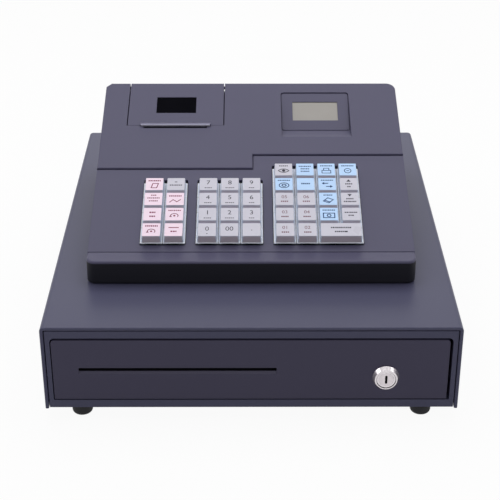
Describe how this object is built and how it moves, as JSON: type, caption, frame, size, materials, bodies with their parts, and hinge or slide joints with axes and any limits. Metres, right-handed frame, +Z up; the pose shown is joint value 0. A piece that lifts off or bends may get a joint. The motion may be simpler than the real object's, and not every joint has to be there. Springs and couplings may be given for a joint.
{
  "type": "cash register",
  "caption": "Small electronic cash register with a sloping keyboard, hinged receipt printer cover and sunk display, standing on a wide steel cash drawer with a lock and media slot.",
  "frame": {"origin": "on the standing surface, under the middle of the overall box (lock included)", "axes": "+Z up; +Y from the drawer's front to the rear; +X to the clerk's right"},
  "size_m": [0.35, 0.41, 0.1829],
  "materials": {
    "case_steel": "fine textured powder coat, dark blue-grey",
    "foot_rubber": "matt",
    "drawer_steel": "black powder coat",
    "roller_nylon": "natural nylon",
    "lock_chrome": "polished",
    "tray_plastic": "fine grained moulding",
    "clip_steel": "bright zinc",
    "skirt_plastic": "fine grained moulding",
    "shell_plastic": "fine grained moulding",
    "lcd_glass": "pale grey liquid crystal panel",
    "mechanism_plastic": "moulded",
    "board_laminate": "solder mask",
    "window_smoked": "smoked, glossy",
    "platen_rubber": "matt",
    "switch_plastic": "gloss",
    "key_grey": "coloured cap under a clear shell",
    "key_pink": "coloured cap under a clear shell",
    "key_blue": "coloured cap under a clear shell"
  },
  "bodies": {
    "case": {"case_cover": "case_steel", "case_chassis": "case_steel", "rubber_feet": "foot_rubber", "base_tray": "skirt_plastic", "upper_case": "shell_plastic", "lcd_panel": "lcd_glass", "printer_mechanism": "mechanism_plastic", "circuit_boards": "board_laminate"},
    "drawer": {"drawer_front": "case_steel", "drawer_tub": "drawer_steel", "lock_barrel": "lock_chrome", "cash_tray": "tray_plastic"},
    "guide_rollers": {"guide_rollers": "roller_nylon"},
    "drawer_rollers": {"drawer_rollers": "roller_nylon"},
    "lock_plug": {"lock_plug": "lock_chrome"},
    "bill_clips": {"bill_clips": "clip_steel"},
    "drawer_latch": {"drawer_latch": "clip_steel"},
    "printer_cover": {"printer_cover": "shell_plastic", "printer_window": "window_smoked"},
    "platen_roller": {"platen_roller": "platen_rubber"},
    "power_switch": {"power_switch": "switch_plastic"},
    "key_left_row1_1": {"key_left_row1_1": "key_pink"},
    "key_left_row1_2": {"key_left_row1_2": "key_pink"},
    "key_left_row2_1": {"key_left_row2_1": "key_pink"},
    "key_left_row2_2": {"key_left_row2_2": "key_pink"},
    "key_left_row3_1": {"key_left_row3_1": "key_pink"},
    "key_left_row3_2": {"key_left_row3_2": "key_pink"},
    "key_left_row4_1": {"key_left_row4_1": "key_pink"},
    "key_left_row4_2": {"key_left_row4_2": "key_grey"},
    "key_middle_row1_1": {"key_middle_row1_1": "key_grey"},
    "key_middle_row1_2": {"key_middle_row1_2": "key_grey"},
    "key_middle_row1_3": {"key_middle_row1_3": "key_grey"},
    "key_middle_row2_1": {"key_middle_row2_1": "key_grey"},
    "key_middle_row2_2": {"key_middle_row2_2": "key_grey"},
    "key_middle_row2_3": {"key_middle_row2_3": "key_grey"},
    "key_middle_row3_1": {"key_middle_row3_1": "key_grey"},
    "key_middle_row3_2": {"key_middle_row3_2": "key_grey"},
    "key_middle_row3_3": {"key_middle_row3_3": "key_grey"},
    "key_middle_row4_1": {"key_middle_row4_1": "key_grey"},
    "key_middle_row4_2": {"key_middle_row4_2": "key_grey"},
    "key_middle_row4_3": {"key_middle_row4_3": "key_grey"},
    "key_right_row1_1": {"key_right_row1_1": "key_grey"},
    "key_right_row1_2": {"key_right_row1_2": "key_grey"},
    "key_right_row1_3": {"key_right_row1_3": "key_grey"},
    "key_right_row2_1": {"key_right_row2_1": "key_grey"},
    "key_right_row2_2": {"key_right_row2_2": "key_grey"},
    "key_right_row2_3": {"key_right_row2_3": "key_blue"},
    "key_right_row2_4": {"key_right_row2_4": "key_grey"},
    "key_right_row3_1": {"key_right_row3_1": "key_grey"},
    "key_right_row3_2": {"key_right_row3_2": "key_grey"},
    "key_right_row3_3": {"key_right_row3_3": "key_blue"},
    "key_right_row3_4": {"key_right_row3_4": "key_grey"},
    "key_right_row4_1": {"key_right_row4_1": "key_blue"},
    "key_right_row4_2": {"key_right_row4_2": "key_blue"},
    "key_right_row4_3": {"key_right_row4_3": "key_blue"},
    "key_right_row4_4": {"key_right_row4_4": "key_grey"},
    "key_right_row5_1": {"key_right_row5_1": "key_grey"},
    "key_right_row5_2": {"key_right_row5_2": "key_blue"},
    "key_right_row5_3": {"key_right_row5_3": "key_blue"},
    "key_right_row5_4": {"key_right_row5_4": "key_blue"}
  },
  "joints": [
    {"name": "drawer_slide", "type": "slide", "parent": "case", "child": "drawer", "axis": [0, -1, 0], "range_m": [0, 0.2983]},
    {"name": "lock_turn", "type": "hinge", "parent": "drawer", "child": "lock_plug", "pos_m": [0.1126, -0.2, 0.0417], "axis": [0, 1, 0], "range_deg": [0, 90]},
    {"name": "printer_cover_hinge", "type": "hinge", "parent": "case", "child": "printer_cover", "pos_m": [-0.0724, 0.1096, 0.17921], "axis": [-1, 0, 0], "range_deg": [0, 95]},
    {"name": "bill_clips_lift", "type": "hinge", "parent": "drawer", "child": "bill_clips", "pos_m": [0, 0.1648, 0.062], "axis": [-1, 0, 0], "range_deg": [0, 30]},
    {"name": "drawer_latch_hook", "type": "hinge", "parent": "case", "child": "drawer_latch", "pos_m": [0, 0.1943, 0.062], "axis": [1, 0, 0], "range_deg": [0, 14], "stiffness_Nm_per_rad": 0.01, "springref_deg": -17.19},
    {"name": "power_switch_rock", "type": "hinge", "parent": "case", "child": "power_switch", "pos_m": [0.098, 0.1086, 0.124], "axis": [1, 0, 0], "range_deg": [0, 18]},
    {"name": "platen_spin", "type": "hinge", "parent": "printer_cover", "child": "platen_roller", "pos_m": [-0.0724, 0.06188, 0.15591], "axis": [1, 0, 0], "continuous": true},
    {"name": "guide_roller_spin", "type": "hinge", "parent": "case", "child": "guide_rollers", "pos_m": [0, -0.169, 0.037], "axis": [1, 0, 0], "range_deg": [0, 2640]},
    {"name": "drawer_roller_spin", "type": "hinge", "parent": "drawer", "child": "drawer_rollers", "pos_m": [0, 0.1633, 0.037], "axis": [1, 0, 0], "range_deg": [0, 2640]},
    {"name": "key_left_row1_1_press", "type": "slide", "parent": "case", "child": "key_left_row1_1", "axis": [0, 0.2982, -0.9545], "range_m": [0, 0.0035], "stiffness_N_per_m": 150, "springref_m": -0.002},
    {"name": "key_left_row1_2_press", "type": "slide", "parent": "case", "child": "key_left_row1_2", "axis": [0, 0.2982, -0.9545], "range_m": [0, 0.0035], "stiffness_N_per_m": 150, "springref_m": -0.002},
    {"name": "key_left_row2_1_press", "type": "slide", "parent": "case", "child": "key_left_row2_1", "axis": [0, 0.2982, -0.9545], "range_m": [0, 0.0035], "stiffness_N_per_m": 150, "springref_m": -0.002},
    {"name": "key_left_row2_2_press", "type": "slide", "parent": "case", "child": "key_left_row2_2", "axis": [0, 0.2982, -0.9545], "range_m": [0, 0.0035], "stiffness_N_per_m": 150, "springref_m": -0.002},
    {"name": "key_left_row3_1_press", "type": "slide", "parent": "case", "child": "key_left_row3_1", "axis": [0, 0.2982, -0.9545], "range_m": [0, 0.0035], "stiffness_N_per_m": 150, "springref_m": -0.002},
    {"name": "key_left_row3_2_press", "type": "slide", "parent": "case", "child": "key_left_row3_2", "axis": [0, 0.2982, -0.9545], "range_m": [0, 0.0035], "stiffness_N_per_m": 150, "springref_m": -0.002},
    {"name": "key_left_row4_1_press", "type": "slide", "parent": "case", "child": "key_left_row4_1", "axis": [0, 0.2982, -0.9545], "range_m": [0, 0.0035], "stiffness_N_per_m": 150, "springref_m": -0.002},
    {"name": "key_left_row4_2_press", "type": "slide", "parent": "case", "child": "key_left_row4_2", "axis": [0, 0.2982, -0.9545], "range_m": [0, 0.0035], "stiffness_N_per_m": 150, "springref_m": -0.002},
    {"name": "key_middle_row1_1_press", "type": "slide", "parent": "case", "child": "key_middle_row1_1", "axis": [0, 0.2982, -0.9545], "range_m": [0, 0.0035], "stiffness_N_per_m": 150, "springref_m": -0.002},
    {"name": "key_middle_row1_2_press", "type": "slide", "parent": "case", "child": "key_middle_row1_2", "axis": [0, 0.2982, -0.9545], "range_m": [0, 0.0035], "stiffness_N_per_m": 150, "springref_m": -0.002},
    {"name": "key_middle_row1_3_press", "type": "slide", "parent": "case", "child": "key_middle_row1_3", "axis": [0, 0.2982, -0.9545], "range_m": [0, 0.0035], "stiffness_N_per_m": 150, "springref_m": -0.002},
    {"name": "key_middle_row2_1_press", "type": "slide", "parent": "case", "child": "key_middle_row2_1", "axis": [0, 0.2982, -0.9545], "range_m": [0, 0.0035], "stiffness_N_per_m": 150, "springref_m": -0.002},
    {"name": "key_middle_row2_2_press", "type": "slide", "parent": "case", "child": "key_middle_row2_2", "axis": [0, 0.2982, -0.9545], "range_m": [0, 0.0035], "stiffness_N_per_m": 150, "springref_m": -0.002},
    {"name": "key_middle_row2_3_press", "type": "slide", "parent": "case", "child": "key_middle_row2_3", "axis": [0, 0.2982, -0.9545], "range_m": [0, 0.0035], "stiffness_N_per_m": 150, "springref_m": -0.002},
    {"name": "key_middle_row3_1_press", "type": "slide", "parent": "case", "child": "key_middle_row3_1", "axis": [0, 0.2982, -0.9545], "range_m": [0, 0.0035], "stiffness_N_per_m": 150, "springref_m": -0.002},
    {"name": "key_middle_row3_2_press", "type": "slide", "parent": "case", "child": "key_middle_row3_2", "axis": [0, 0.2982, -0.9545], "range_m": [0, 0.0035], "stiffness_N_per_m": 150, "springref_m": -0.002},
    {"name": "key_middle_row3_3_press", "type": "slide", "parent": "case", "child": "key_middle_row3_3", "axis": [0, 0.2982, -0.9545], "range_m": [0, 0.0035], "stiffness_N_per_m": 150, "springref_m": -0.002},
    {"name": "key_middle_row4_1_press", "type": "slide", "parent": "case", "child": "key_middle_row4_1", "axis": [0, 0.2982, -0.9545], "range_m": [0, 0.0035], "stiffness_N_per_m": 150, "springref_m": -0.002},
    {"name": "key_middle_row4_2_press", "type": "slide", "parent": "case", "child": "key_middle_row4_2", "axis": [0, 0.2982, -0.9545], "range_m": [0, 0.0035], "stiffness_N_per_m": 150, "springref_m": -0.002},
    {"name": "key_middle_row4_3_press", "type": "slide", "parent": "case", "child": "key_middle_row4_3", "axis": [0, 0.2982, -0.9545], "range_m": [0, 0.0035], "stiffness_N_per_m": 150, "springref_m": -0.002},
    {"name": "key_right_row1_1_press", "type": "slide", "parent": "case", "child": "key_right_row1_1", "axis": [0, 0.2982, -0.9545], "range_m": [0, 0.0035], "stiffness_N_per_m": 150, "springref_m": -0.002},
    {"name": "key_right_row1_2_press", "type": "slide", "parent": "case", "child": "key_right_row1_2", "axis": [0, 0.2982, -0.9545], "range_m": [0, 0.0035], "stiffness_N_per_m": 150, "springref_m": -0.002},
    {"name": "key_right_row1_3_press", "type": "slide", "parent": "case", "child": "key_right_row1_3", "axis": [0, 0.2982, -0.9545], "range_m": [0, 0.0035], "stiffness_N_per_m": 150, "springref_m": -0.002},
    {"name": "key_right_row2_1_press", "type": "slide", "parent": "case", "child": "key_right_row2_1", "axis": [0, 0.2982, -0.9545], "range_m": [0, 0.0035], "stiffness_N_per_m": 150, "springref_m": -0.002},
    {"name": "key_right_row2_2_press", "type": "slide", "parent": "case", "child": "key_right_row2_2", "axis": [0, 0.2982, -0.9545], "range_m": [0, 0.0035], "stiffness_N_per_m": 150, "springref_m": -0.002},
    {"name": "key_right_row2_3_press", "type": "slide", "parent": "case", "child": "key_right_row2_3", "axis": [0, 0.2982, -0.9545], "range_m": [0, 0.0035], "stiffness_N_per_m": 150, "springref_m": -0.002},
    {"name": "key_right_row2_4_press", "type": "slide", "parent": "case", "child": "key_right_row2_4", "axis": [0, 0.2982, -0.9545], "range_m": [0, 0.0035], "stiffness_N_per_m": 150, "springref_m": -0.002},
    {"name": "key_right_row3_1_press", "type": "slide", "parent": "case", "child": "key_right_row3_1", "axis": [0, 0.2982, -0.9545], "range_m": [0, 0.0035], "stiffness_N_per_m": 150, "springref_m": -0.002},
    {"name": "key_right_row3_2_press", "type": "slide", "parent": "case", "child": "key_right_row3_2", "axis": [0, 0.2982, -0.9545], "range_m": [0, 0.0035], "stiffness_N_per_m": 150, "springref_m": -0.002},
    {"name": "key_right_row3_3_press", "type": "slide", "parent": "case", "child": "key_right_row3_3", "axis": [0, 0.2982, -0.9545], "range_m": [0, 0.0035], "stiffness_N_per_m": 150, "springref_m": -0.002},
    {"name": "key_right_row3_4_press", "type": "slide", "parent": "case", "child": "key_right_row3_4", "axis": [0, 0.2982, -0.9545], "range_m": [0, 0.0035], "stiffness_N_per_m": 150, "springref_m": -0.002},
    {"name": "key_right_row4_1_press", "type": "slide", "parent": "case", "child": "key_right_row4_1", "axis": [0, 0.2982, -0.9545], "range_m": [0, 0.0035], "stiffness_N_per_m": 150, "springref_m": -0.002},
    {"name": "key_right_row4_2_press", "type": "slide", "parent": "case", "child": "key_right_row4_2", "axis": [0, 0.2982, -0.9545], "range_m": [0, 0.0035], "stiffness_N_per_m": 150, "springref_m": -0.002},
    {"name": "key_right_row4_3_press", "type": "slide", "parent": "case", "child": "key_right_row4_3", "axis": [0, 0.2982, -0.9545], "range_m": [0, 0.0035], "stiffness_N_per_m": 150, "springref_m": -0.002},
    {"name": "key_right_row4_4_press", "type": "slide", "parent": "case", "child": "key_right_row4_4", "axis": [0, 0.2982, -0.9545], "range_m": [0, 0.0035], "stiffness_N_per_m": 150, "springref_m": -0.002},
    {"name": "key_right_row5_1_press", "type": "slide", "parent": "case", "child": "key_right_row5_1", "axis": [0, 0.2982, -0.9545], "range_m": [0, 0.0035], "stiffness_N_per_m": 150, "springref_m": -0.002},
    {"name": "key_right_row5_2_press", "type": "slide", "parent": "case", "child": "key_right_row5_2", "axis": [0, 0.2982, -0.9545], "range_m": [0, 0.0035], "stiffness_N_per_m": 150, "springref_m": -0.002},
    {"name": "key_right_row5_3_press", "type": "slide", "parent": "case", "child": "key_right_row5_3", "axis": [0, 0.2982, -0.9545], "range_m": [0, 0.0035], "stiffness_N_per_m": 150, "springref_m": -0.002},
    {"name": "key_right_row5_4_press", "type": "slide", "parent": "case", "child": "key_right_row5_4", "axis": [0, 0.2982, -0.9545], "range_m": [0, 0.0035], "stiffness_N_per_m": 150, "springref_m": -0.002}
  ],
  "couplings": [
    {"joint": "guide_roller_spin", "follows": "drawer_slide", "rad_per_m": 153.85},
    {"joint": "drawer_roller_spin", "follows": "drawer_slide", "rad_per_m": 153.85}
  ]
}
